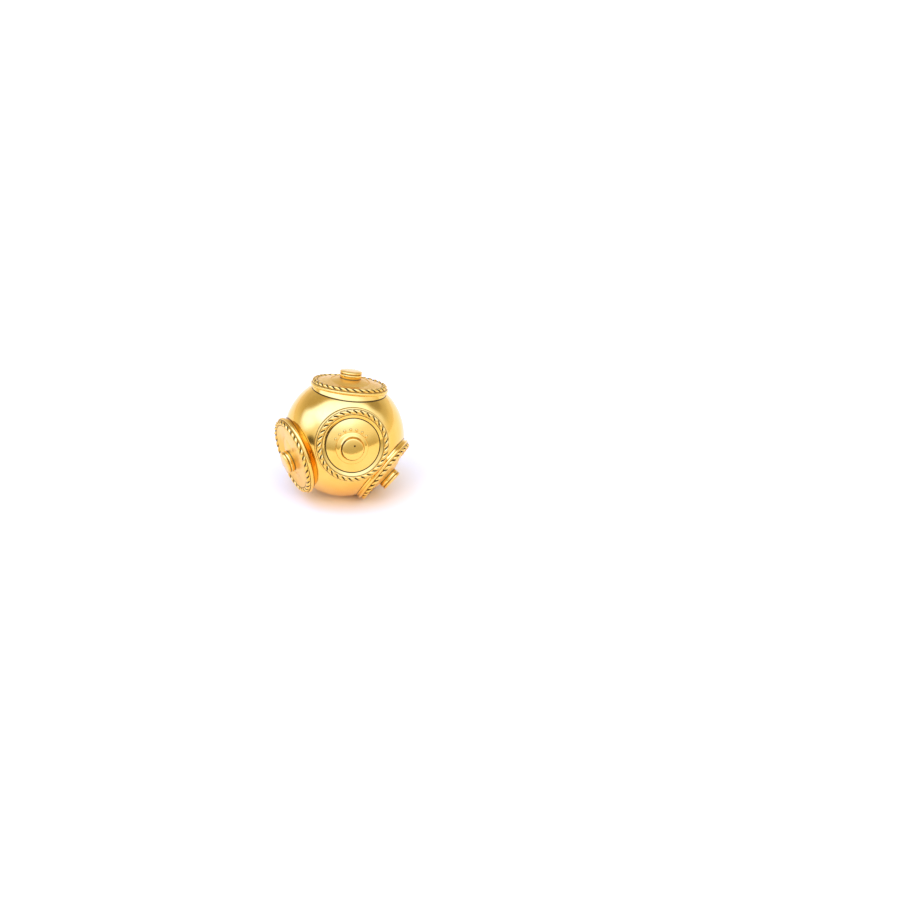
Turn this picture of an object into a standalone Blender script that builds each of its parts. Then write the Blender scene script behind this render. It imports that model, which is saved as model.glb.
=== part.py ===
"""Gold bead stud earring: a hollow polished ball with four round ornaments, and a plain post behind.

Each ornament is a turned collar with a twisted rope wire soldered on it and a small button in its middle.
They are set on the ball by hand, so their angles are a little uneven. The stud lies as it does by itself,
on the ball, the rim of the right ring and the end of the post. Metres, +Z up, the front towards -Y.
"""

import math

import bmesh
import bpy
from mathutils import Matrix, Vector

MM = 0.001

# The ball
BALL_RADIUS = 6.0 * MM
BALL_WALL = 0.45 * MM
BALL_SEGMENTS = 48
CAVITY_SEGMENTS = 24
VENT_RADIUS = 0.4 * MM
VENT_TILT = 38.0  # degrees from the post
VENT_CUT_LENGTH = 6 * BALL_WALL
# The hand-raised wall is thicker below, at the right: the room inside sits this far to the left and up,
# so that the stud's weight holds the rim of the right ring on the surface
CAVITY_SHIFT = (-0.125 * MM, 0.05 * MM, 0.0)

# The solder seam between the ball and what stands on it
SEAM = 0.05 * MM

# The collar of each ring: its foot is a share of the ball's radius, and so is the rim above it, which
# carries the wire. Its edge stands out from the rim, its inner side is the width in from the foot, and
# its heights are above where the rim would meet the ball. The left ring is raised further.
FOOT_SHARE = 0.597
TOP_RIM_SHARE = 0.622
LEFT_RIM_SHARE = 0.634
LEFT_RAISE = 0.45 * MM
EDGE_OVERHANG = 0.14 * MM
COLLAR_WIDTH = 0.9 * MM
EDGE_HEIGHT = 0.2 * MM
EDGE_ROUND = 0.06 * MM
EDGE_HALF_HEIGHT = 0.1 * MM
LIP_THICKNESS = 0.05 * MM
COLLAR_STEPS = 40

# The rope wire, flush with the collar's rim outside
ROPE_RADIUS = 0.25 * MM
ROPE_HEIGHT = 0.52 * MM
STRAND_RADIUS = 0.17 * MM
ROPE_LAYS = 32
POINTS_PER_LAY = 3
ROPE_SIDES = 6

# Where the collar runs into the wire, inward and upward from the wire's middle
ROPE_JOIN_IN = 0.2 * MM
ROPE_JOIN_UP = 0.15 * MM

# The button in the middle of each ring, and the thin foot that it stands on
BOSS_RADIUS = 0.185 * BALL_RADIUS
BOSS_HEIGHT = 0.64 * MM
BOSS_EDGE = 0.12 * MM
BOSS_BEVEL = 0.035 * MM
BOSS_CROWN = 0.02 * MM
BOSS_FILLET = 0.06 * MM
STEP_WIDTH = 0.49 * MM
STEP_HEIGHT = 0.06 * MM
BOSS_STEPS = 24

# The post and its pad
POST_RADIUS = 0.45 * MM
POST_LENGTH = 11.4 * MM
POST_END_BEVEL = 0.15 * MM
PAD_RADIUS = BALL_RADIUS / 3
PAD_THICKNESS = 0.35 * MM
PAD_BEVEL = 0.1 * MM
POST_STEPS = 20

# Where each ring, its foot and its button stand: tilt from the front of the post's axis, and turn
# about that axis, clockwise from the top as seen from the front. The top and left rings lean on their
# feet, so there the two differ.
ORNAMENTS = (
    {
        "name": "front",
        "rim": FOOT_SHARE * BALL_RADIUS,
        "raised": 0.0,
        "ring": (6.0, 86.5),
        "foot": (6.0, 86.5),
        "boss": (4.6, 107.0),
    },
    {
        "name": "top",
        "rim": TOP_RIM_SHARE * BALL_RADIUS,
        "raised": 0.0,
        "ring": (88.8, 8.2),
        "foot": (82.3, 7.8),
        "boss": (87.0, 8.1),
    },
    {
        "name": "right",
        "rim": FOOT_SHARE * BALL_RADIUS,
        "raised": 0.0,
        "ring": (78.2, 131.8),
        "foot": (78.2, 131.8),
        "boss": (78.2, 134.6),
    },
    {
        "name": "left",
        "rim": LEFT_RIM_SHARE * BALL_RADIUS,
        "raised": LEFT_RAISE,
        "ring": (73.4, 253.7),
        "foot": (78.6, 253.6),
        "boss": (76.0, 250.0),
    },
)

# How far the resting post points to the left of straight back
POST_YAW = 5.0

GOLD = {"color": (0.93, 0.66, 0.27, 1.0), "roughness": 0.1}
POST_GOLD = {"color": (0.90, 0.66, 0.32, 1.0), "roughness": 0.22}


def clear_scene():
    for obj in list(bpy.data.objects):
        bpy.data.objects.remove(obj)


def collection_named(name):
    made = bpy.data.collections.new(name)
    bpy.context.scene.collection.children.link(made)
    return made


def metal(name, look):
    made = bpy.data.materials.new(name)
    made.use_nodes = True
    shader = made.node_tree.nodes["Principled BSDF"]
    shader.inputs["Base Color"].default_value = look["color"]
    shader.inputs["Roughness"].default_value = look["roughness"]
    shader.inputs["Metallic"].default_value = 1.0
    return made


def new_object(name, mesh, collection, material=None):
    obj = bpy.data.objects.new(name, mesh)
    collection.objects.link(obj)
    if material:
        mesh.materials.append(material)
    return obj


def evaluated_mesh(obj):
    bpy.context.view_layer.update()
    graph = bpy.context.evaluated_depsgraph_get()
    return bpy.data.meshes.new_from_object(obj.evaluated_get(graph), depsgraph=graph)


def join_or_cut(obj, other, operation):
    modifier = obj.modifiers.new(operation.title(), "BOOLEAN")
    modifier.operation = operation
    modifier.solver = "EXACT"
    modifier.object = other
    other.hide_render = True
    other.display_type = "WIRE"


def turned(name, profile, steps, collection, material=None):
    """A solid turned about Z from (radius, height) points that run down its outer side."""
    mesh = bpy.data.meshes.new(name)
    edges = [(i, i + 1) for i in range(len(profile) - 1)]
    if profile[0][0] > 0:
        edges.append((len(profile) - 1, 0))
    mesh.from_pydata([(radius, 0.0, height) for radius, height in profile], edges, [])
    obj = new_object(name, mesh, collection, material)
    screw = obj.modifiers.new("Turn", "SCREW")
    screw.steps = steps
    screw.render_steps = steps
    screw.use_merge_vertices = True
    screw.merge_threshold = 0.000001
    return obj


def sphere(name, radius, segments, collection, material=None):
    """A ball about the post's axis, with one of its flats below, where it rests."""
    shape = bmesh.new()
    bmesh.ops.create_uvsphere(shape, u_segments=segments, v_segments=segments // 2, radius=radius)
    bmesh.ops.rotate(shape, verts=shape.verts, matrix=Matrix.Rotation(math.pi / segments, 3, "Z"))
    mesh = bpy.data.meshes.new(name)
    shape.to_mesh(mesh)
    shape.free()
    return new_object(name, mesh, collection, material)


def seat_height(radius):
    """How high the ball's skin, with the seam on it, stands at a distance from an ornament's axis."""
    return math.sqrt((BALL_RADIUS + SEAM) ** 2 - radius**2)


def seat(outer, inner, points):
    """The underside of a piece that stands on the ball, from its outer to its inner radius."""
    radii = [outer + (inner - outer) * i / (points - 1) for i in range(points)]
    return [(radius, seat_height(radius)) for radius in radii]


def ball(collection, cutters, gold):
    shell = sphere("ball", BALL_RADIUS, BALL_SEGMENTS, collection, gold)
    cavity = sphere("ball_cavity", BALL_RADIUS - BALL_WALL, CAVITY_SEGMENTS, cutters)
    cavity.location = CAVITY_SHIFT
    join_or_cut(shell, cavity, "DIFFERENCE")
    shape = bmesh.new()
    bmesh.ops.create_cone(
        shape,
        cap_ends=True,
        segments=12,
        radius1=VENT_RADIUS,
        radius2=VENT_RADIUS,
        depth=VENT_CUT_LENGTH,
        matrix=Matrix.Translation((0, 0, -(BALL_RADIUS - BALL_WALL / 2))),
    )
    mesh = bpy.data.meshes.new("ball_vent")
    shape.to_mesh(mesh)
    shape.free()
    vent = new_object("ball_vent", mesh, cutters)
    vent.rotation_euler = (math.radians(VENT_TILT), 0, 0)
    join_or_cut(shell, vent, "DIFFERENCE")
    return [shell, cavity, vent]


def collar(name, ornament, collection, gold):
    """The collar about its rim's axis, with its underside turned round the ball to where its foot stands."""
    foot_radius = FOOT_SHARE * BALL_RADIUS
    rim_radius = ornament["rim"]
    level = seat_height(rim_radius) + ornament["raised"]
    edge_radius = rim_radius + EDGE_OVERHANG
    edge_level = level + EDGE_HEIGHT
    crevice_radius = foot_radius - COLLAR_WIDTH
    rope_level = level + ROPE_HEIGHT
    profile = [
        (rim_radius - ROPE_RADIUS - ROPE_JOIN_IN, rope_level + ROPE_JOIN_UP),
        (rim_radius, rope_level - ROPE_JOIN_UP),
        (edge_radius - EDGE_ROUND, edge_level + EDGE_HALF_HEIGHT),
        (edge_radius, edge_level),
        (edge_radius - EDGE_ROUND, edge_level - EDGE_HALF_HEIGHT),
    ]
    profile += seat(foot_radius, crevice_radius, 4)
    profile.append((crevice_radius, seat_height(crevice_radius) + LIP_THICKNESS))
    upright = turned(name + "_upright", profile, COLLAR_STEPS, collection, gold)
    mesh = evaluated_mesh(upright)
    bpy.data.objects.remove(upright)
    lean = facing(*ornament["ring"]).inverted() @ facing(*ornament["foot"])
    for vertex in mesh.vertices:
        if vertex.co.length < BALL_RADIUS + SEAM + LIP_THICKNESS:
            vertex.co = lean @ vertex.co
    mesh.materials.clear()
    return new_object(name, mesh, collection, gold)


def rope(name, ornament, collection):
    """Two strands twisted together and closed into a ring, as a curve whose section turns on its way round."""
    section = bpy.data.curves.new(name + "_section", "CURVE")
    section.dimensions = "2D"
    outline = section.splines.new("POLY")
    outline.points.add(ROPE_SIDES - 1)
    for i, point in enumerate(outline.points):
        angle = 2 * math.pi * i / ROPE_SIDES
        point.co = (ROPE_RADIUS * math.cos(angle), STRAND_RADIUS * math.sin(angle), 0, 1)
    outline.use_cyclic_u = True
    guide = new_object(name + "_section", section, collection)
    guide.hide_render = True

    path = bpy.data.curves.new(name, "CURVE")
    path.dimensions = "3D"
    path.twist_mode = "Z_UP"
    path.bevel_mode = "OBJECT"
    path.bevel_object = guide
    line = path.splines.new("POLY")
    count = ROPE_LAYS * POINTS_PER_LAY
    line.points.add(count - 1)
    radius = ornament["rim"] - ROPE_RADIUS
    height = seat_height(ornament["rim"]) + ornament["raised"] + ROPE_HEIGHT
    for i, point in enumerate(line.points):
        angle = 2 * math.pi * i / count
        point.co = (radius * math.cos(angle), radius * math.sin(angle), height, 1)
        point.tilt = math.pi * i / POINTS_PER_LAY
    line.use_cyclic_u = True
    curve = new_object(name + "_curve", path, collection)

    mesh = evaluated_mesh(curve)
    shape = bmesh.new()
    shape.from_mesh(mesh)
    bmesh.ops.remove_doubles(shape, verts=shape.verts, dist=1e-7)
    bmesh.ops.recalc_face_normals(shape, faces=shape.faces)
    shape.to_mesh(mesh)
    shape.free()
    mesh.materials.clear()
    bpy.data.objects.remove(curve)
    bpy.data.objects.remove(guide)
    return new_object(name, mesh, collection)


def ring(name, ornament, collection, cutters, gold):
    body = collar(name, ornament, collection, gold)
    wire = rope(name + "_rope", ornament, cutters)
    join_or_cut(body, wire, "UNION")
    return [body, wire]


def boss(name, collection, gold):
    top = BALL_RADIUS + BOSS_HEIGHT
    neck = seat_height(BOSS_RADIUS) + STEP_HEIGHT
    step_radius = BOSS_RADIUS + STEP_WIDTH
    shoulder = seat_height(step_radius)
    profile = [
        (0.0, top),
        (BOSS_RADIUS - BOSS_EDGE, top - BOSS_CROWN),
        (BOSS_RADIUS - BOSS_BEVEL, top - BOSS_CROWN - BOSS_BEVEL),
        (BOSS_RADIUS, top - BOSS_EDGE),
        (BOSS_RADIUS, neck + BOSS_FILLET),
        (BOSS_RADIUS + BOSS_FILLET, neck),
        (step_radius - BOSS_FILLET, shoulder + STEP_HEIGHT),
        (step_radius, shoulder + STEP_HEIGHT / 2),
    ]
    profile += seat(step_radius, 0.0, 4)
    return turned(name, profile, BOSS_STEPS, collection, gold)


def ear_post(collection, gold):
    """The post and its pad, turned about Z like the ornaments: Z is straight back."""
    pad_back = seat_height(0.0) + PAD_THICKNESS
    end = BALL_RADIUS + POST_LENGTH
    profile = [
        (0.0, end),
        (POST_RADIUS - POST_END_BEVEL, end),
        (POST_RADIUS, end - POST_END_BEVEL),
        (POST_RADIUS, pad_back),
        (PAD_RADIUS - PAD_BEVEL, pad_back),
        (PAD_RADIUS, pad_back - PAD_BEVEL),
    ]
    profile += seat(PAD_RADIUS, 0.0, 5)
    return turned("ear_post", profile, POST_STEPS, collection, gold)


def facing(tilt, turn):
    """Turns Z from the front of the post's axis to where an ornament stands."""
    return Matrix.Rotation(math.radians(-turn), 4, "Z") @ Matrix.Rotation(math.radians(-tilt), 4, "X")


def resting_drop():
    """How far the post slopes down, so that its end and the ball both touch the surface."""
    reach = BALL_RADIUS + POST_LENGTH - POST_END_BEVEL
    edge = POST_RADIUS - POST_END_BEVEL
    need = BALL_RADIUS * math.cos(math.pi / BALL_SEGMENTS) ** 2 - POST_END_BEVEL
    return math.asin(need / math.hypot(reach, edge)) - math.atan2(edge, reach)


def lowest_and_sides(objects):
    """The box of the finished pieces."""
    bpy.context.view_layer.update()
    graph = bpy.context.evaluated_depsgraph_get()
    points = []
    for obj in objects:
        evaluated = obj.evaluated_get(graph)
        mesh = evaluated.to_mesh()
        points += [evaluated.matrix_world @ vertex.co for vertex in mesh.vertices]
        evaluated.to_mesh_clear()
    low = Vector([min(point[i] for point in points) for i in range(3)])
    high = Vector([max(point[i] for point in points) for i in range(3)])
    return low, high


def main():
    clear_scene()
    parts = collection_named("Gold bead earring")
    cutters = collection_named("Cutters")
    gold = metal("polished gold", GOLD)
    post_gold = metal("post gold", POST_GOLD)

    # In this frame the ball's centre is the origin, Z is the front of the post's axis and Y is up.
    stud = bpy.data.objects.new("stud", None)
    parts.objects.link(stud)
    solids = []
    shell, cavity, vent = ball(parts, cutters, gold)
    solids.append(shell)
    for obj in (shell, cavity, vent):
        obj.parent = stud
    for ornament in ORNAMENTS:
        body, wire = ring(ornament["name"] + "_ring", ornament, parts, cutters, gold)
        button = boss(ornament["name"] + "_boss", parts, gold)
        for obj, place in ((body, "ring"), (wire, "ring"), (button, "boss")):
            obj.matrix_local = facing(*ornament[place])
            obj.parent = stud
        solids += [body, button]
    post = ear_post(parts, post_gold)
    post.rotation_euler = (math.pi, 0, 0)
    post.parent = stud
    solids.append(post)

    # It lies with its front raised: up turns from +Y to +Z, then the post goes down and to the side.
    drop = resting_drop()
    lie = Matrix.Rotation(math.radians(POST_YAW), 4, "Z") @ Matrix.Rotation(math.pi / 2 - drop, 4, "X")
    stud.matrix_local = lie
    low, high = lowest_and_sides(solids)
    stud.matrix_local = Matrix.Translation((-(low.x + high.x) / 2, -(low.y + high.y) / 2, -low.z)) @ lie
    bpy.context.view_layer.update()


main()
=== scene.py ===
# %% [markdown]
# This is a stud earring: a hollow ball of polished gold, with four round ornaments soldered on it and
# a post behind for the ear. It lies on a white table as it would by itself, on the ball, the rim of the
# ornament at the right and the end of the post. The CAD model is loaded first, as a fixed frame, and
# every piece below is made where the frame says.

# %% Load the frame
import math

import bpy
from mathutils import Matrix, Vector


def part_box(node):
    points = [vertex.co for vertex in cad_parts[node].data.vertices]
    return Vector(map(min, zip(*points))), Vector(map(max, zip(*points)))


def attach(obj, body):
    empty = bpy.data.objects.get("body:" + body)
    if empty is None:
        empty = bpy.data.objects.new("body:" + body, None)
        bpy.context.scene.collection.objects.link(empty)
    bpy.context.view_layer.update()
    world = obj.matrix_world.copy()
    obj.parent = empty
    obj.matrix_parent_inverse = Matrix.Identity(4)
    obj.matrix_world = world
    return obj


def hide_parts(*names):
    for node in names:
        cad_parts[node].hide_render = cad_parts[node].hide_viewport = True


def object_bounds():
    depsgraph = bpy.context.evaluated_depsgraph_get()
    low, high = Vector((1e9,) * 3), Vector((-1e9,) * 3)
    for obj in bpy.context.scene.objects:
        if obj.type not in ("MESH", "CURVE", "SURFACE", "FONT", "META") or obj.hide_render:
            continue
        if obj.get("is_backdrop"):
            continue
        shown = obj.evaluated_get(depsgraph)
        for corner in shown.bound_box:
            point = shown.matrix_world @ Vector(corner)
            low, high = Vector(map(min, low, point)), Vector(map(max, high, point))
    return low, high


MM = 0.001

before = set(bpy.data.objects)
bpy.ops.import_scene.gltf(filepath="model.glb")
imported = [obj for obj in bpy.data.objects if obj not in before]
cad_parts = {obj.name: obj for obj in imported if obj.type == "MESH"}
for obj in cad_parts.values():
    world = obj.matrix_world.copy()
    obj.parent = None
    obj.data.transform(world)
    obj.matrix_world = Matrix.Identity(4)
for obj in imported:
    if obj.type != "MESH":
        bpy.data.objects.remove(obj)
CAD_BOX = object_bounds()


def in_mm(values):
    return [round(value / MM, 3) for value in values]


print("CAD box, mm:", in_mm(CAD_BOX[0]), in_mm(CAD_BOX[1]))

# %% [markdown]
# The ball carries everything, so its middle and the slope of the post give one frame for the whole
# stud: Z runs out of the front along the post's axis, and Y is up. The ball's box in the CAD model is
# even about its middle. A flat of the CAD ball touches the table, and the smooth ball drawn here is
# made just so much smaller that its skin touches the table there too.

# %% The stud's own frame
BALL_RADIUS = 5.975 * MM
POST_YAW = 5.0
POST_DROP = 18.734

ball_low, ball_high = (Vector(corner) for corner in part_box("ball"))
BALL_CENTRE = (ball_low + ball_high) / 2
STUD = (
    Matrix.Translation(BALL_CENTRE)
    @ Matrix.Rotation(math.radians(POST_YAW), 4, "Z")
    @ Matrix.Rotation(math.radians(90 - POST_DROP), 4, "X")
)
print("ball's middle, mm:", in_mm(BALL_CENTRE))
print("ball's skin above the table, mm:", round((BALL_CENTRE.z - BALL_RADIUS) / MM, 3))

# %% [markdown]
# Each ornament is a ring and a button. The goldsmith set them by eye, so each has its own tilt from
# the post's axis and turn about it, clockwise from the top, and no two are quite alike: the top and
# left rings lean on their feet and are a little wider, and the left one is raised. One function turns
# the stud's frame to a place, and the last one is the back, where the post stands.

# %% The ornaments' places
ORNAMENTS = (
    {
        "name": "front",
        "ring": (6.0, 86.5),
        "foot": (6.0, 86.5),
        "boss": (4.6, 107.0),
        "wider": 0.0,
        "raised": 0.0,
        "plate_from": 2.72,
    },
    {
        "name": "top",
        "ring": (88.8, 8.2),
        "foot": (82.3, 7.8),
        "boss": (87.0, 8.1),
        "wider": 0.150,
        "raised": 0.0,
        "plate_from": 1.90,
    },
    {
        "name": "right",
        "ring": (78.2, 131.8),
        "foot": (78.2, 131.8),
        "boss": (78.2, 134.6),
        "wider": 0.0,
        "raised": 0.0,
        "plate_from": 2.72,
    },
    {
        "name": "left",
        "ring": (73.4, 253.7),
        "foot": (78.6, 253.6),
        "boss": (76.0, 250.0),
        "wider": 0.222,
        "raised": 0.45,
        "plate_from": 1.90,
    },
)


def standing(tilt, turn):
    """The frame of a piece on the ball: its Z runs out of the ball's middle."""
    about_post = Matrix.Rotation(math.radians(-turn), 4, "Z")
    return STUD @ about_post @ Matrix.Rotation(math.radians(-tilt), 4, "X")


BACK = STUD @ Matrix.Rotation(math.pi, 4, "X")
for ornament in ORNAMENTS:
    axis = standing(*ornament["ring"]).col[2]
    print(ornament["name"], "ring points to", [round(axis[i], 3) for i in range(3)])

# %% [markdown]
# The camera comes before the shapes, so that each piece can be judged from where the photograph was
# taken: a long lens, 30 degrees above the table, square to the front. The ball isn't in the middle of
# the picture but up and to the left, so the camera is moved sideways and kept square, not turned.

# %% The camera
CAMERA_RISE = 30.0
CAMERA_DISTANCE = 450 * MM
LENS = 182.4
RIGHT_OF_BALL = 10.48 * MM
BELOW_BALL = 1.42 * MM

rise = math.radians(CAMERA_RISE)
across = Vector((1, 0, 0))
forward = Vector((0, math.cos(rise), -math.sin(rise)))
upward = across.cross(forward)
aim = BALL_CENTRE + across * RIGHT_OF_BALL - upward * BELOW_BALL
eye = aim - forward * CAMERA_DISTANCE
looking = Matrix((across, upward, -forward)).transposed().to_4x4()

bpy.ops.object.camera_add()
camera = bpy.context.object
camera.name = "camera"
camera.matrix_world = Matrix.Translation(eye) @ looking
camera.data.lens = LENS
bpy.context.scene.camera = camera
print("camera at, mm:", in_mm(eye))

# %% [markdown]
# Operators act on all that is selected, and the frame's solids come in selected. So every step starts
# from nothing selected. A finished piece has its place in its mesh and its object at the origin, like
# the CAD solids, and the solid that it stands for is hidden.

# %% Helpers for every piece
MERGE_DISTANCE = 0.0002 * MM


def start_fresh():
    if bpy.context.object and bpy.context.object.mode != "OBJECT":
        bpy.ops.object.mode_set(mode="OBJECT")
    bpy.ops.object.select_all(action="DESELECT")


def choose(obj):
    start_fresh()
    obj.select_set(True)
    bpy.context.view_layer.objects.active = obj


def modified(obj, kind, **settings):
    """Adds one modifier, sets it and applies it."""
    choose(obj)
    modifier = obj.modifiers.new(kind.title(), kind)
    for name, value in settings.items():
        setattr(modifier, name, value)
    bpy.ops.object.modifier_apply(modifier=modifier.name)


def close_up(obj):
    """Merges what coincides and turns every face outwards."""
    choose(obj)
    bpy.ops.object.mode_set(mode="EDIT")
    bpy.ops.mesh.select_all(action="SELECT")
    bpy.ops.mesh.remove_doubles(threshold=MERGE_DISTANCE)
    bpy.ops.mesh.normals_make_consistent(inside=False)
    bpy.ops.object.mode_set(mode="OBJECT")


def smooth(obj, degrees=40):
    choose(obj)
    bpy.ops.object.shade_smooth_by_angle(angle=math.radians(degrees))
    return obj


def joined(pieces):
    start_fresh()
    for piece in pieces:
        piece.select_set(True)
    bpy.context.view_layer.objects.active = pieces[0]
    bpy.ops.object.join()
    return bpy.context.object


def box_of(obj):
    corners = [obj.matrix_world @ vertex.co for vertex in obj.data.vertices]
    low = [min(corner[i] for corner in corners) for i in range(3)]
    high = [max(corner[i] for corner in corners) for i in range(3)]
    return low, high


def finished(obj, name, place, node):
    """Moves a piece to its place on the stud, names it, hides the solid that it stands for, and prints its
    size.
    """
    obj.name = name
    obj.data.name = name
    choose(obj)
    obj.matrix_world = place
    bpy.ops.object.transform_apply(location=True, rotation=True, scale=True)
    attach(obj, "root")
    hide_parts(node)
    low, high = box_of(obj)
    size = in_mm(high[i] - low[i] for i in range(3))
    print(name, "measures", size, "from", round(low[2] / MM, 3), "up;", len(obj.data.polygons), "faces")


# %% [markdown]
# Most pieces of jewellery like this are round because they were turned or spun. Their shape is one
# outline: a single point is drawn out, step by step, to the outline of half a section, and the spin
# tool turns that about the axis. A small bevel then takes the hard line off each edge, which is what
# catches the light on polished metal.

# %% Turned pieces
BEVEL_STEPS = 3
BEVEL_FROM = math.radians(22)


def softened(obj, edge):
    """Rounds every hard edge, by a width in millimetres."""
    modified(
        obj,
        "BEVEL",
        width=edge * MM,
        segments=BEVEL_STEPS,
        limit_method="ANGLE",
        angle_limit=BEVEL_FROM,
    )


def turned(name, outline, steps, edge=0.0):
    """Spins (radius, height) points in millimetres about Z. Both ends are on the axis, or neither."""
    start_fresh()
    bpy.ops.mesh.primitive_plane_add(size=MM)
    obj = bpy.context.object
    obj.name = name
    bpy.ops.object.mode_set(mode="EDIT")
    bpy.ops.mesh.select_all(action="SELECT")
    bpy.ops.mesh.merge(type="CENTER")
    here = Vector((0, 0, 0))
    for number, (radius, height) in enumerate(outline):
        there = Vector((radius, 0, height)) * MM
        if number == 0:
            bpy.ops.transform.translate(value=there)
        else:
            bpy.ops.mesh.extrude_vertices_move(TRANSFORM_OT_translate={"value": there - here})
        here = there
    bpy.ops.mesh.select_all(action="SELECT")
    bpy.ops.mesh.spin(steps=steps, angle=2 * math.pi, center=(0, 0, 0), axis=(0, 0, 1))
    close_up(obj)
    if edge:
        softened(obj, edge)
    return smooth(obj)


def skin(radius):
    """How high the ball's skin stands at a distance from an ornament's axis, in millimetres."""
    return math.sqrt((BALL_RADIUS / MM) ** 2 - radius**2)


# %% [markdown]
# The ball was raised from two half spheres and is hollow, and it has a small hole at the back, near
# the post, so that the air could get out when it was soldered. A fine sphere gives the skin, with its
# poles on the post's axis, where the front ornament and the pad hide them. A smaller sphere and a short
# pin with a wide end are cut out of it: the room inside, and the hole with its softened edge.

# %% The ball
SKIN_SEGMENTS = 160
ROOM_SEGMENTS = 64
WALL = 0.45 * MM
VENT_SIDES = 48
VENT_RADIUS = 0.4 * MM
VENT_TILT = 38.0
VENT_SOFTENING = 0.08 * MM
VENT_WIDENING = 1.8
PIN_LENGTH = 3 * WALL


def hollow_ball():
    start_fresh()
    bpy.ops.mesh.primitive_uv_sphere_add(
        segments=SKIN_SEGMENTS, ring_count=SKIN_SEGMENTS // 2, radius=BALL_RADIUS
    )
    ball = bpy.context.object

    start_fresh()
    bpy.ops.mesh.primitive_uv_sphere_add(
        segments=ROOM_SEGMENTS, ring_count=ROOM_SEGMENTS // 2, radius=BALL_RADIUS - WALL
    )
    room = bpy.context.object
    modified(ball, "BOOLEAN", operation="DIFFERENCE", solver="EXACT", object=room)

    start_fresh()
    bpy.ops.mesh.primitive_cylinder_add(
        vertices=VENT_SIDES, radius=VENT_RADIUS, depth=PIN_LENGTH, location=(0, 0, BALL_RADIUS)
    )
    pin = bpy.context.object
    bpy.ops.object.mode_set(mode="EDIT")
    bpy.ops.mesh.select_all(action="SELECT")
    bpy.ops.mesh.bisect(plane_co=(0, 0, BALL_RADIUS - VENT_SOFTENING), plane_no=(0, 0, 1))
    bpy.ops.object.mode_set(mode="OBJECT")
    for vertex in pin.data.vertices:
        vertex.select = vertex.co.z + pin.location.z > BALL_RADIUS
    bpy.ops.object.mode_set(mode="EDIT")
    bpy.ops.transform.resize(value=(VENT_WIDENING, VENT_WIDENING, 1))
    bpy.ops.object.mode_set(mode="OBJECT")
    choose(pin)
    bpy.ops.object.transform_apply(location=True)
    pin.matrix_world = Matrix.Rotation(math.pi, 4, "X") @ Matrix.Rotation(math.radians(-VENT_TILT), 4, "X")
    modified(ball, "BOOLEAN", operation="DIFFERENCE", solver="EXACT", object=pin)
    for cutter in (room, pin):
        bpy.data.objects.remove(cutter)
    return smooth(ball)


finished(hollow_ball(), "gold_ball", STUD, "ball")

# %% [markdown]
# A ring's collar is a low turned band. Its foot follows the ball, its outer edge is rounded, and its
# inner side slopes down to the dark crevice where the ball's own dome comes up inside it. At the top
# and the left it reaches further in instead, as a plate. A wider rim has the same section above the
# foot, moved out and down along the ball. Where a ring leans, all that lies along the ball is turned
# round the ball's middle to the foot's own place.

# %% The collars
COLLAR_FOOT = 3.582
LIES_ON_BALL = 6.06
COLLAR_EDGE = 0.025
COLLAR_STEPS = 144


def lift_of(ornament):
    """How much higher a rim sits than the front one."""
    return ornament["raised"] + skin(COLLAR_FOOT + ornament["wider"]) - skin(COLLAR_FOOT)


def collar_outline(wider, lift, plate_from):
    rim = (
        (3.08, 5.505),
        (3.34, 5.46),
        (3.56, 5.25),
        (3.66, 5.21),
        (3.712, 5.12),
        (3.705, 5.00),
        (3.64, 4.93),
    )
    outline = [(plate_from, skin(plate_from) + 0.02), (plate_from + 0.05, skin(plate_from) + 0.04)]
    outline += [(radius + wider, height + lift) for radius, height in rim]
    for radius, inwards in ((3.62, 0.06), (3.30, 0.12), (3.00, 0.10), (plate_from, 0.06)):
        outline.append((radius, skin(radius) - inwards))
    outline.append(outline[0])
    return outline


for ornament in ORNAMENTS:
    name = ornament["name"]
    place = standing(*ornament["ring"])
    outline = collar_outline(ornament["wider"], lift_of(ornament), ornament["plate_from"])
    collar = turned("collar", outline, COLLAR_STEPS)
    lean = place.inverted() @ standing(*ornament["foot"])
    for vertex in collar.data.vertices:
        if vertex.co.length < LIES_ON_BALL * MM:
            vertex.co = lean @ vertex.co
    softened(collar, COLLAR_EDGE)
    finished(smooth(collar), name + "_collar", place, name + "_ring")

# %% [markdown]
# On each collar lies a rope: two round wires twisted together and soldered into a ring. It is made as
# the smith made it. Two circles are the ends of the wires, the Screw modifier twists them into a
# straight rope of whole turns, and Simple Deform bends that round until its ends meet and merge.

# %% The ropes
ROPE_CIRCLE = 3.31
ROPE_LEVEL = 5.37
ROPE_TURNS = 16
STRAND = 0.152 * MM
STRAND_FROM_MIDDLE = 0.098 * MM
STRAND_STRETCH = 1.10
STRAND_SIDES = 16
STEPS_PER_TURN = 22
ROPE_CREASE = 60


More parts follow.
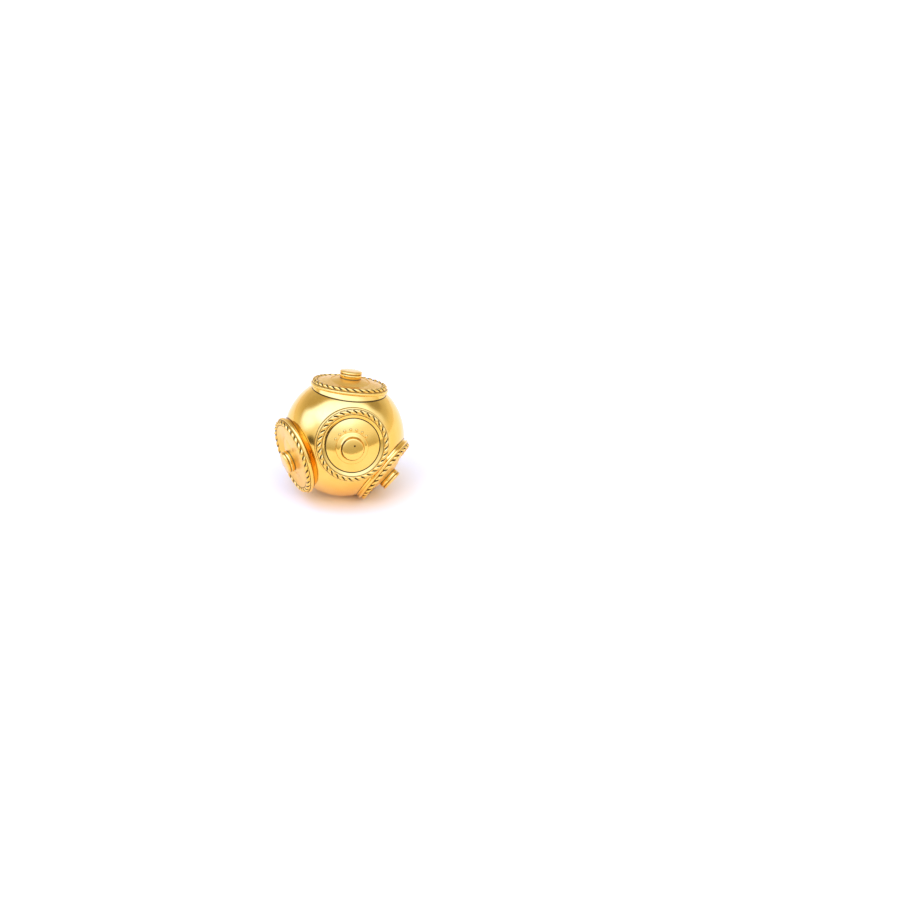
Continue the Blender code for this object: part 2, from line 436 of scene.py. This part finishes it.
def twisted_rope(circle, level):
    ends = []
    for side in (1, -1):
        start_fresh()
        bpy.ops.mesh.primitive_circle_add(
            vertices=STRAND_SIDES,
            radius=STRAND,
            location=(0, side * STRAND_FROM_MIDDLE, 0),
            rotation=(0, math.pi / 2, 0),
        )
        bpy.ops.transform.resize(value=(1, 1, STRAND_STRETCH))
        bpy.ops.object.transform_apply(location=True, rotation=True, scale=True)
        ends.append(bpy.context.object)
    rope = joined(ends)
    steps = ROPE_TURNS * STEPS_PER_TURN
    modified(
        rope,
        "SCREW",
        axis="X",
        angle=2 * math.pi * ROPE_TURNS,
        screw_offset=2 * math.pi * circle * MM,
        steps=steps,
        render_steps=steps,
    )
    modified(rope, "SIMPLE_DEFORM", deform_method="BEND", deform_axis="Z", angle=2 * math.pi)
    close_up(rope)
    low, high = box_of(rope)
    middle = [(low[i] + high[i]) / 2 for i in range(3)]
    rope.location = Vector((0, 0, level * MM)) - Vector(middle)
    choose(rope)
    bpy.ops.object.transform_apply(location=True)
    print("rope is", round((high[0] - low[0]) / MM, 3), "mm across, in", ROPE_TURNS, "turns")
    return smooth(rope, ROPE_CREASE)


for ornament in ORNAMENTS:
    name = ornament["name"]
    rope = twisted_rope(ROPE_CIRCLE + ornament["wider"], ROPE_LEVEL + lift_of(ornament))
    finished(rope, name + "_rope", standing(*ornament["ring"]), name + "_ring")

# %% [markdown]
# The button in the middle of each ring is a short turned pin with a soft lip round its slightly domed
# face. At the top and the sides it stands straight on the ball, with a groove under the lip. The front
# one runs out at its foot like the bell of a trumpet, which draws the circles round it.

# %% The buttons
BUTTON_EDGE = 0.02
BUTTON_STEPS = 112
FRONT_BUTTON = (
    (0.0, 6.640),
    (0.50, 6.628),
    (0.85, 6.600),
    (0.99, 6.575),
    (1.06, 6.53),
    (1.09, 6.46),
    (1.10, 6.30),
    (1.13, 6.16),
    (1.22, 6.04),
    (1.35, 5.965),
    (1.50, 5.915),
    (1.57, 5.870),
    (1.61, 5.800),
    (1.61, skin(1.61) - 0.06),
    (0.80, skin(0.80) - 0.10),
    (0.0, skin(0.0) - 0.12),
)
PLAIN_BUTTON = (
    (0.0, 6.640),
    (0.60, 6.634),
    (0.95, 6.615),
    (1.07, 6.575),
    (1.11, 6.50),
    (1.10, 6.42),
    (1.05, 6.375),
    (1.045, 6.33),
    (1.09, 6.27),
    (1.10, 6.16),
    (1.08, 6.02),
    (1.04, 5.93),
    (1.06, skin(1.06) + 0.02),
    (1.06, skin(1.06) - 0.06),
    (0.60, skin(0.60) - 0.10),
    (0.0, skin(0.0) - 0.12),
)
for ornament in ORNAMENTS:
    name = ornament["name"]
    outline = FRONT_BUTTON if name == "front" else PLAIN_BUTTON
    button = turned("button", outline, BUTTON_STEPS, BUTTON_EDGE)
    finished(button, name + "_button", standing(*ornament["boss"]), name + "_boss")

# %% [markdown]
# Above the front button the smith set a short arc of tiny gold grains, half sunk in the ball. One
# grain is a small sphere pressed a little flat, and the arc is that grain again and again.

# %% The grains
GRAIN = 0.15 * MM
GRAIN_FLATNESS = 0.8
GRAINS_FROM_AXIS = 1.80
GRAIN_ANGLES = (37, 55, 74, 93, 112, 131, 150)
GRAIN_SINK = 0.02

front_button_place = standing(*ORNAMENTS[0]["boss"])
rightwards = front_button_place.to_3x3().inverted() @ across
arc_start = math.degrees(math.atan2(rightwards.y, rightwards.x))
grains = []
for angle in GRAIN_ANGLES:
    start_fresh()
    here = math.radians(arc_start + angle)
    spot = Vector((math.cos(here), math.sin(here), 0)) * GRAINS_FROM_AXIS
    spot.z = skin(GRAINS_FROM_AXIS) - GRAIN_SINK
    bpy.ops.mesh.primitive_uv_sphere_add(segments=20, ring_count=12, radius=GRAIN, location=spot * MM)
    bpy.ops.transform.resize(value=(1, 1, GRAIN_FLATNESS))
    bpy.ops.object.transform_apply(location=True, rotation=True, scale=True)
    grains.append(bpy.context.object)
row_of_grains = smooth(joined(grains), ROPE_CREASE)
finished(row_of_grains, "front_grains", front_button_place, "ball")

# %% [markdown]
# The post is plain round wire on a round pad, and is only seen from behind. Solder has drawn a small
# fillet round its root and round the pad, and its end is rounded so that it doesn't scratch.

# %% The post
POST_EDGE = 0.02
POST_STEPS = 96
POST = (
    (0.0, 17.40),
    (0.22, 17.385),
    (0.38, 17.30),
    (0.45, 17.16),
    (0.45, 6.62),
    (0.49, 6.50),
    (0.60, 6.42),
    (0.76, 6.40),
    (1.88, 6.40),
    (1.97, 6.36),
    (2.00, 6.28),
    (2.00, skin(2.00) + 0.06),
    (2.04, skin(2.04) - 0.03),
    (1.00, skin(1.00) - 0.10),
    (0.0, skin(0.0) - 0.12),
)
post = turned("post", POST, POST_STEPS, POST_EDGE)
finished(post, "post_and_pad", BACK, "ear_post")

# %% [markdown]
# A finish is a small network of nodes. To write it as plain arithmetic, a socket is wrapped so that
# adding or multiplying it makes the Math node, and every other node comes from one method, which takes
# the node's type, its settings and what its sockets get.

# %% Shader arithmetic


class Amount:
    """One number that changes from place to place, with the arithmetic of a plain number."""

    def __init__(self, network, socket):
        self.network = network
        self.socket = socket

    def __add__(self, other):
        return self.network.maths("ADD", self, other)

    def __mul__(self, other):
        return self.network.maths("MULTIPLY", self, other)

    def __sub__(self, other):
        return self.network.maths("SUBTRACT", self, other)

    def __rsub__(self, other):
        return self.network.maths("SUBTRACT", other, self)

    __radd__ = __add__
    __rmul__ = __mul__

    def size(self):
        return self.network.maths("ABSOLUTE", self)

    def root(self):
        return self.network.maths("SQRT", self)

    def or_more(self, other):
        return self.network.maths("MAXIMUM", self, other)


class Network:
    """The nodes of one material or of the room, and the ways to add to them."""

    def __init__(self, tree):
        self.nodes = tree.nodes
        self.links = tree.links

    def feed(self, socket, value):
        if isinstance(value, Amount):
            value = value.socket
        if isinstance(value, bpy.types.NodeSocket):
            self.links.new(value, socket)
        else:
            socket.default_value = value

    def node(self, kind, settings, inputs):
        made = self.nodes.new("ShaderNode" + kind)
        for name, value in settings.items():
            setattr(made, name, value)
        for name, value in inputs.items():
            self.feed(made.inputs[name], value)
        return made

    def maths(self, operation, *values):
        node = self.node("Math", {"operation": operation}, dict(enumerate(values)))
        return Amount(self, node.outputs[0])

    def between(self, amount, low, high):
        """Nothing at one value, all at another, with a soft step."""
        settings = {"interpolation_type": "SMOOTHSTEP"}
        inputs = {"Value": amount, "From Min": low, "From Max": high}
        return Amount(self, self.node("MapRange", settings, inputs).outputs["Result"])

    def near(self, amount, middle, core, reach):
        """All at a value and a core's width around it, nothing a reach away from it."""
        return 1 - self.between((amount - middle).size(), core, reach)

    def mixed(self, amount, first, second):
        """A colour between two."""
        inputs = {0: amount}
        for number, colour in ((6, first), (7, second)):
            inputs[number] = (*colour, 1.0) if isinstance(colour, tuple) else colour
        return self.node("Mix", {"data_type": "RGBA"}, inputs).outputs[2]


class Finish(Network):
    """A metal finish: one material, and the nodes that its Principled shader is fed from."""

    def __init__(self, name, colour, roughness, metallic=1.0):
        self.material = bpy.data.materials.new(name)
        self.material.use_nodes = True
        super().__init__(self.material.node_tree)
        self.shader = self.nodes["Principled BSDF"]
        self.feed(self.shader.inputs["Base Color"], (*colour, 1.0))
        self.feed(self.shader.inputs["Roughness"], roughness)
        self.feed(self.shader.inputs["Metallic"], metallic)
        self.material.diffuse_color = (*colour, 1.0)

    def places(self, frame_of_piece=None):
        """Object coordinates, or those of a piece's own frame on the stud."""
        coordinates = self.node("TexCoord", {}, {}).outputs["Object"]
        if frame_of_piece is None:
            return coordinates
        inputs = {
            "Vector": coordinates,
            "Location": frame_of_piece.to_translation(),
            "Rotation": frame_of_piece.to_euler("XYZ"),
        }
        return self.node("Mapping", {"vector_type": "TEXTURE"}, inputs).outputs["Vector"]

    def split(self, places):
        """The three coordinates, in millimetres."""
        sockets = self.node("SeparateXYZ", {}, {"Vector": places}).outputs
        return [Amount(self, sockets[letter]) * 1000 for letter in "XYZ"]

    def radius_and_height(self, frame_of_piece):
        """The distance from a piece's axis and the height along it, in millimetres."""
        x, y, z = self.split(self.places(frame_of_piece))
        return (x * x + y * y).root(), z

    def cloud(self, per_mm, detail, places, rough=0.5):
        """Soft noise, with this many features to a millimetre."""
        inputs = {
            "Vector": places,
            "Scale": per_mm * 1000,
            "Detail": detail,
            "Roughness": rough,
        }
        return Amount(self, self.node("TexNoise", {}, inputs).outputs[0])

    def bumped(self, amount, depth):
        inputs = {"Height": amount, "Strength": 1.0, "Distance": depth * MM}
        normal = self.node("Bump", {}, inputs).outputs["Normal"]
        self.feed(self.shader.inputs["Normal"], normal)

    def worn_on(self, piece_name):
        piece = bpy.data.objects[piece_name]
        piece.data.materials.clear()
        piece.data.materials.append(self.material)


# %% [markdown]
# The gold is a warm yellow alloy, polished but worn by cloths: the tone drifts a little from place to
# place, and fine hair lines and a slight waviness soften what it mirrors. Shade is painted dark into
# the crevices and under the overhangs. Every polished piece starts from the same skin, which gives the
# colour, the roughness and the relief, and adds its own painted shade. The ball has painted shade round
# the foot of each collar and along the crevice inside the front one, and has a fine grain inside the
# others.

# %% Polished gold
YELLOW_GOLD = (0.93, 0.575, 0.125)
REDDER_GOLD = (0.91, 0.515, 0.088)
PAINTED_DARK_COLOUR = (0.030, 0.014, 0.004)


class PolishedGold(Finish):
    def __init__(self, name, roughness):
        super().__init__(name, YELLOW_GOLD, roughness)
        here = self.places()
        drift = self.cloud(0.35, 2, here)
        haze = self.cloud(2.2, 4, here, 0.6)
        hairs = self.node("Mapping", {}, {"Vector": here, "Scale": (1.0, 14.0, 1.0)}).outputs[0]
        lines = self.between(self.cloud(1.1, 3, hairs), 0.52, 0.75)
        self.roughness = roughness + haze * 0.05 + lines * 0.02
        self.relief = drift + haze * 0.10 + lines * 0.02
        tone = self.between(drift + haze * 0.2, 0.4, 0.8)
        self.colour = self.mixed(tone, YELLOW_GOLD, REDDER_GOLD)

    def paint_dark(self, where, strength):
        """Paints dark into the colour, for shade and for a dark reflection, and dulls the polish."""
        self.colour = self.mixed(where * strength, self.colour, PAINTED_DARK_COLOUR)
        self.roughness = self.roughness + where * 0.3

    def grained(self, where, dullness, depth):
        """A fine matt grain, left from before the polishing."""
        fine = self.cloud(9.0, 2, self.places(), 0.7)
        self.roughness = self.roughness + where * dullness
        self.relief = self.relief + where * fine * depth

    def put_on(self, piece_name):
        self.feed(self.shader.inputs["Base Color"], self.colour)
        self.feed(self.shader.inputs["Roughness"], self.roughness)
        self.bumped(self.relief, 0.02)
        self.worn_on(piece_name)


PAINTED_SHADE_STRENGTH = 0.95
GRAIN_DULLNESS = 0.25
GRAIN_DEPTH = 0.3
FOOT_SHADE_RADIUS = COLLAR_FOOT + 0.048
FOOT_SHADE_WIDTH = (0.03, 0.09)
CREVICE_SHADE_RADIUS = 2.69
CREVICE_SHADE_WIDTH = (0.03, 0.07)
ORNAMENT_SIDE = (3.0, 4.0)
GRAIN_EDGE = (2.55, 2.68)

ball_gold = PolishedGold("ball gold", 0.10)
for ornament in ORNAMENTS:
    away, height = ball_gold.radius_and_height(standing(*ornament["foot"]))
    this_side = ball_gold.between(height, *ORNAMENT_SIDE)
    # Painted shade: a dark band on the ball round the foot of each collar, and in the front one's crevice.
    shade_round_foot = ball_gold.near(away, FOOT_SHADE_RADIUS, *FOOT_SHADE_WIDTH)
    if ornament["name"] == "front":
        shade_in_crevice = ball_gold.near(away, CREVICE_SHADE_RADIUS, *CREVICE_SHADE_WIDTH)
        ball_gold.paint_dark(shade_in_crevice.or_more(shade_round_foot) * this_side, PAINTED_SHADE_STRENGTH)
    else:
        inside = (1 - ball_gold.between(away, *GRAIN_EDGE)) * this_side
        ball_gold.paint_dark(shade_round_foot * this_side, PAINTED_SHADE_STRENGTH)
        ball_gold.grained(inside, GRAIN_DULLNESS, GRAIN_DEPTH)
ball_gold.put_on("gold_ball")

# %% [markdown]
# The collars, ropes and buttons each have their own painted shade: beside the rope, deep between its
# strands, and round the foot and under the lip of each button. The front button has painted shade on one
# side of its rim and a small painted dark reflection in its face, and the two plates keep a fine matt
# grain.

# %% Gold of the ornaments
PLATE_REACH = 2.0
PLATE_TOP = (5.2, 5.3)
COLLAR_CREVICE_SHADE_RADIUS = 2.70
COLLAR_CREVICE_SHADE_WIDTH = (0.03, 0.06)
BESIDE_ROPE = 0.25
BESIDE_ROPE_WIDTH = (0.02, 0.06)
BESIDE_ROPE_SHADE_STRENGTH = 0.7
ROPE_GROOVE = (0.165, 0.21)
PAINTED_BLACK_STRENGTH = 0.97
SHADED_SIDE = 205
DARK_REFLECTION_ANGLE = 65
DARK_REFLECTION_FROM_AXIS = 0.40
DARK_REFLECTION_RADIUS = (0.06, 0.13)
LIP_GROOVE = 6.35
LIP_GROOVE_WIDTH = (0.02, 0.06)
BUTTON_FOOT = (5.93, 6.0)
BUTTON_WALL = (0.98, 1.02)
BUTTON_SHADE_STRENGTH = 0.8

for ornament in ORNAMENTS:
    name = ornament["name"]
    ring_place = standing(*ornament["ring"])
    circle = ROPE_CIRCLE + ornament["wider"]
    level = ROPE_LEVEL + lift_of(ornament)

    collar_gold = PolishedGold(name + " collar gold", 0.08)
    away, height = collar_gold.radius_and_height(ring_place)
    # Painted shade on the collar beside the rope.
    shade_beside_rope = collar_gold.near((away - circle).size(), BESIDE_ROPE, *BESIDE_ROPE_WIDTH)
    collar_gold.paint_dark(shade_beside_rope, BESIDE_ROPE_SHADE_STRENGTH)
    away, height = collar_gold.radius_and_height(standing(*ornament["foot"]))
    has_plate = ornament["plate_from"] < PLATE_REACH
    if has_plate:
        collar_gold.grained(collar_gold.between(height, *PLATE_TOP), GRAIN_DULLNESS, GRAIN_DEPTH)
    else:
        # Painted shade in the crevice inside the collar, where the ball's dome meets it.
        crevice = collar_gold.near(away, COLLAR_CREVICE_SHADE_RADIUS, *COLLAR_CREVICE_SHADE_WIDTH)
        collar_gold.paint_dark(crevice, PAINTED_SHADE_STRENGTH)
    collar_gold.put_on(name + "_collar")

    rope_gold = PolishedGold(name + " rope gold", 0.07)
    away, height = rope_gold.radius_and_height(ring_place)
    sideways = away - circle
    upwards = height - level
    from_middle = (sideways * sideways + upwards * upwards).root()
    # Painted shade, nearly black, deep between the strands.
    rope_gold.paint_dark(1 - rope_gold.between(from_middle, *ROPE_GROOVE), PAINTED_BLACK_STRENGTH)
    rope_gold.put_on(name + "_rope")

    button_gold = PolishedGold(name + " button gold", 0.06)
    away, height = button_gold.radius_and_height(standing(*ornament["boss"]))
    if name == "front":
        x, y, height = button_gold.split(button_gold.places(front_button_place))
        shaded = math.radians(arc_start + SHADED_SIDE)
        side = x * math.cos(shaded) + y * math.sin(shaded)
        # Painted shade on one side of the button's rim.
        rim = button_gold.near(away, 1.085, 0.025, 0.055) * button_gold.between(side, -0.3, 0.5)
        button_gold.paint_dark(rim * button_gold.between(height, 6.05, 6.15), PAINTED_SHADE_STRENGTH)
        # A small dark reflection painted into the domed face, a little off its middle.
        reflection_turn = math.radians(arc_start + DARK_REFLECTION_ANGLE)
        across_reflection = x - DARK_REFLECTION_FROM_AXIS * math.cos(reflection_turn)
        along_reflection = y - DARK_REFLECTION_FROM_AXIS * math.sin(reflection_turn)
        from_reflection = (across_reflection * across_reflection + along_reflection * along_reflection).root()
        button_gold.paint_dark(1 - button_gold.between(from_reflection, *DARK_REFLECTION_RADIUS), PAINTED_BLACK_STRENGTH)
    else:
        # Painted shade under the lip and round the foot of each button.
        shade_under_lip = button_gold.near(height, LIP_GROOVE, *LIP_GROOVE_WIDTH)
        foot = 1 - button_gold.between(height, *BUTTON_FOOT)
        wall = button_gold.between(away, *BUTTON_WALL)
        button_gold.paint_dark(shade_under_lip.or_more(foot) * wall, BUTTON_SHADE_STRENGTH)
    button_gold.put_on(name + "_button")

grain_gold = PolishedGold("grain gold", 0.07)
away, height = grain_gold.radius_and_height(front_button_place)
# Painted shade round the bottom of each grain, where it meets the ball.
grain_gold.paint_dark(1 - grain_gold.between(height, skin(GRAINS_FROM_AXIS) + 0.01, 5.76), 0.9)
grain_gold.put_on("front_grains")

# %% [markdown]
# The post is drawn wire, brushed along its length and less bright than the front.

# %% Brushed gold for the post
POST_TONE = (0.88, 0.55, 0.15)

post_gold = Finish("post gold", POST_TONE, 0.2)
along = post_gold.places(BACK)
brushing = post_gold.node("Mapping", {}, {"Vector": along, "Scale": (9.0, 9.0, 0.4)}).outputs[0]
strokes = post_gold.cloud(1.6, 4, brushing, 0.6)
smears = post_gold.cloud(0.8, 3, along)
post_gold.feed(post_gold.shader.inputs["Roughness"], 0.13 + strokes * 0.12 + smears * 0.06)
post_gold.feed(
    post_gold.shader.inputs["Base Color"],
    post_gold.mixed(post_gold.between(smears, 0.3, 0.8), POST_TONE, REDDER_GOLD),
)
post_gold.bumped(strokes, 0.006)
post_gold.worn_on("post_and_pad")

# %% [markdown]
# Polished metal shows the room, not itself, so the room is drawn with care, all in soft steps: a pale
# horizon, a cool bright ceiling that comes down in front, a dimmer wall behind, two large soft boxes
# at the left, one over the other, and a few darker corners. Directions are given as on a map, turning
# from the camera's side.

# %% The room
HORIZON = (0.97, 0.97, 0.97)
CAMERA_SIDE = (0.64, 0.64, 0.64)
FRONT_SKY = (1.12, 1.32, 2.20)
CEILING = (1.55, 2.20, 5.60)
WALL_BEHIND = (0.68, 0.68, 0.68)
SOFT_PATCHES = (
    {"azimuth": -93, "rise": 33, "core": 8, "reach": 26, "colour": (1.50, 2.15, 5.50)},
    {"azimuth": -67, "rise": 62, "core": 8, "reach": 28, "colour": (1.70, 2.60, 7.50)},
    {"azimuth": -64, "rise": 3, "core": 4, "reach": 14, "colour": (0.12, 0.12, 0.12)},
    {"azimuth": 122, "rise": 37, "core": 5, "reach": 17, "colour": (0.44, 0.44, 0.44)},
    {"azimuth": -126, "rise": 38, "core": 5, "reach": 20, "colour": (0.58, 0.58, 0.58)},
)

world = bpy.data.worlds.new("studio room")
bpy.context.scene.world = world
world.use_nodes = True
room = Network(world.node_tree)
towards = room.node("TexCoord", {}, {}).outputs["Generated"]
parts = room.node("SeparateXYZ", {}, {"Vector": towards}).outputs
back = Amount(room, parts["Y"])
up = Amount(room, parts["Z"])

low = room.mixed(room.between(back, -0.45, -0.20), CAMERA_SIDE, HORIZON)
front = room.mixed(room.between(up, 0.02, 0.50), low, FRONT_SKY)
front = room.mixed(room.between(up, 0.50, 0.93), front, CEILING)
behind = room.mixed(room.between(up, 0.05, 0.35), low, WALL_BEHIND)
sky = room.mixed(room.between(back, 0.12, 0.34), front, behind)
for patch in SOFT_PATCHES:
    turn = math.radians(patch["azimuth"])
    rise = math.radians(patch["rise"])
    middle = (math.sin(turn) * math.cos(rise), -math.cos(turn) * math.cos(rise), math.sin(rise))
    closeness = room.node("VectorMath", {"operation": "DOT_PRODUCT"}, {0: towards, 1: middle})
    glow = room.between(
        closeness.outputs["Value"],
        math.cos(math.radians(patch["reach"])),
        math.cos(math.radians(patch["core"])),
    )
    sky = room.mixed(glow, sky, patch["colour"])
background = room.nodes["Background"]
room.feed(background.inputs["Color"], sky)
room.feed(background.inputs["Strength"], 1.0)

# %% [markdown]
# The table is a warm white and runs on past the picture. Two warm lamps in front of it even out the
# cool light of the ceiling, so that it looks neutral, and they are kept out of the metal's reflections.

# %% The table and its lamps
TABLE_SIZE = 1.6
TABLE_WHITE = (0.90, 0.79, 0.49)
TABLE_ROUGHNESS = 0.6
LAMP_COLOUR = (1.0, 0.72, 0.42)
LAMP_POWER = 1.6
LAMP_SIZE = 0.35
LAMPS = ((-0.35, -0.55, 0.45), (0.35, -0.55, 0.45))

start_fresh()
bpy.ops.mesh.primitive_plane_add(size=TABLE_SIZE)
table = bpy.context.object
table.name = "table"
table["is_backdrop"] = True
paper = Finish("white table", TABLE_WHITE, TABLE_ROUGHNESS, metallic=0.0)
paper.feed(paper.shader.inputs["Specular IOR Level"], 0.0)
paper.worn_on("table")

for number, place in enumerate(LAMPS):
    start_fresh()
    bpy.ops.object.light_add(type="AREA", location=place)
    lamp = bpy.context.object
    lamp.name = "table lamp " + str(number + 1)
    lamp.data.shape = "DISK"
    lamp.data.size = LAMP_SIZE
    lamp.data.energy = LAMP_POWER
    lamp.data.color = LAMP_COLOUR
    lamp.rotation_euler = (BALL_CENTRE - Vector(place)).to_track_quat("-Z", "Y").to_euler()
    lamp.visible_camera = False
    lamp.visible_glossy = False
bpy.context.scene.view_settings.view_transform = "Standard"

# %% [markdown]
# Last, the box of what was made here is printed, in the same form as the CAD model's box at the start.
# The pieces must not outgrow the solids that they stand for.

# %% Sizes and the end
MADE_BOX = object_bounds()
print("visual box, mm:", in_mm(MADE_BOX[0]), in_mm(MADE_BOX[1]))
